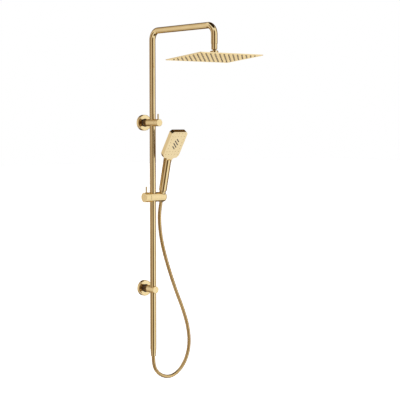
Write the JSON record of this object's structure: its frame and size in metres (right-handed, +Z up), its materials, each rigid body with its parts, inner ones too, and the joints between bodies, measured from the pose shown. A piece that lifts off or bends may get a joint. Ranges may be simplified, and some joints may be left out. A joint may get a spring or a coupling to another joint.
{
  "type": "rainfall shower column",
  "caption": "Wall-fixed shower column with a gooseneck arm, flat rectangular rain head on a ball joint, lever diverter, sliding swivelling handset holder and flexible hose.",
  "frame": {"origin": "centre of the threaded water inlet's mouth, on the wall plane", "axes": "+Z up, +Y into the wall, -Y out into the room, +X along the wall towards the handset"},
  "size_m": [0.3053, 0.5493, 1.3811],
  "materials": {
    "gold_tube": "satin brushed gold",
    "gold_body": "satin brushed gold",
    "gold_plate": "satin brushed gold",
    "gold_plastic": "satin plated plastic",
    "bare_brass": "machined",
    "seal_rubber": "matt",
    "nozzle_silicone": "matt",
    "spray_grey": "matt",
    "liner_plastic": "matt",
    "hose_metal": "ribbed metal over a soft tube",
    "steel": "plain"
  },
  "bodies": {
    "column": {"inlet_union": "bare_brass", "upper_wall_flange": "gold_body", "upper_flange_seal": "seal_rubber", "upper_bracket_body": "gold_body", "diverter_cartridge": "liner_plastic", "lower_wall_plate": "steel", "lower_wall_flange": "gold_body", "lower_flange_seal": "seal_rubber", "lower_adjusting_sleeve": "bare_brass", "lower_bracket_body": "gold_body", "bracket_grub_screw": "steel", "gooseneck_arm": "gold_tube", "slide_rail": "gold_tube", "rail_outlet_nipple": "bare_brass", "outlet_seal_ring": "seal_rubber", "hose_bottom_nut": "gold_body", "hose_bottom_washer": "seal_rubber", "arm_adapter": "gold_body", "adapter_seal_ring": "seal_rubber", "ball_stud": "bare_brass", "hose_lower": "hose_metal"},
    "diverter": {"diverter_spool": "bare_brass", "spool_seal": "seal_rubber", "diverter_knob": "gold_body", "diverter_lever": "gold_body", "diverter_grub_screw": "steel"},
    "slider_bush": {"slider_bush": "liner_plastic", "hose_middle": "hose_metal"},
    "slider": {"slider_body": "gold_body", "holder_sleeve": "liner_plastic", "knob_washer": "liner_plastic", "hose_top": "hose_metal"},
    "clamp_knob": {"clamp_knob": "gold_body", "clamp_knob_pin": "gold_body", "clamp_screw": "steel"},
    "handset": {"hose_cone_nut": "gold_body", "hose_top_washer": "seal_rubber", "handset_handle": "gold_plastic", "handset_flow_washer": "seal_rubber", "handset_back_shell": "gold_plastic", "handset_nozzle_mat": "nozzle_silicone", "handset_face_plate": "gold_plastic", "handset_slot_insert": "spray_grey"},
    "ball_ring": {"ball_ring": "liner_plastic"},
    "ball_seat": {"ball_seat": "liner_plastic"},
    "rain_head": {"head_socket": "gold_body", "collar_nut": "gold_body", "head_top_plate": "gold_plate", "head_nozzle_mat": "nozzle_silicone", "head_face_plate": "gold_plate"}
  },
  "joints": [
    {"name": "diverter_turn", "type": "hinge", "parent": "column", "child": "diverter", "pos_m": [0, -0.1, 0], "axis": [0, 1, 0], "range_deg": [-90, 0]},
    {"name": "slider_slide", "type": "slide", "parent": "column", "child": "slider_bush", "axis": [0, 0, 1], "range_m": [-0.2, 0.05], "deforming": ["hose_lower"]},
    {"name": "slider_swivel", "type": "hinge", "parent": "slider_bush", "child": "slider", "pos_m": [0, -0.0644, -0.291], "axis": [0, 0, 1], "range_deg": [-45, 30], "deforming": ["hose_middle"]},
    {"name": "clamp_knob_turn", "type": "hinge", "parent": "slider", "child": "clamp_knob", "pos_m": [-0.03, -0.0644, -0.291], "axis": [1, 0, 0], "range_deg": [-90, 0]},
    {"name": "handset_lift", "type": "slide", "parent": "slider", "child": "handset", "axis": [0, -0.2504, 0.9681], "range_m": [0, 0.045], "deforming": ["hose_top"]},
    {"name": "head_spin", "type": "hinge", "parent": "column", "child": "ball_ring", "pos_m": [0, -0.4452, 0.251], "axis": [0, 0, 1], "continuous": true},
    {"name": "head_pitch", "type": "hinge", "parent": "ball_ring", "child": "ball_seat", "pos_m": [0, -0.4452, 0.251], "axis": [1, 0, 0], "range_deg": [-4.9, 15.1]},
    {"name": "head_roll", "type": "hinge", "parent": "ball_seat", "child": "rain_head", "pos_m": [0, -0.4452, 0.251], "axis": [0, 0.996, -0.0889], "range_deg": [-10, 10]}
  ]
}
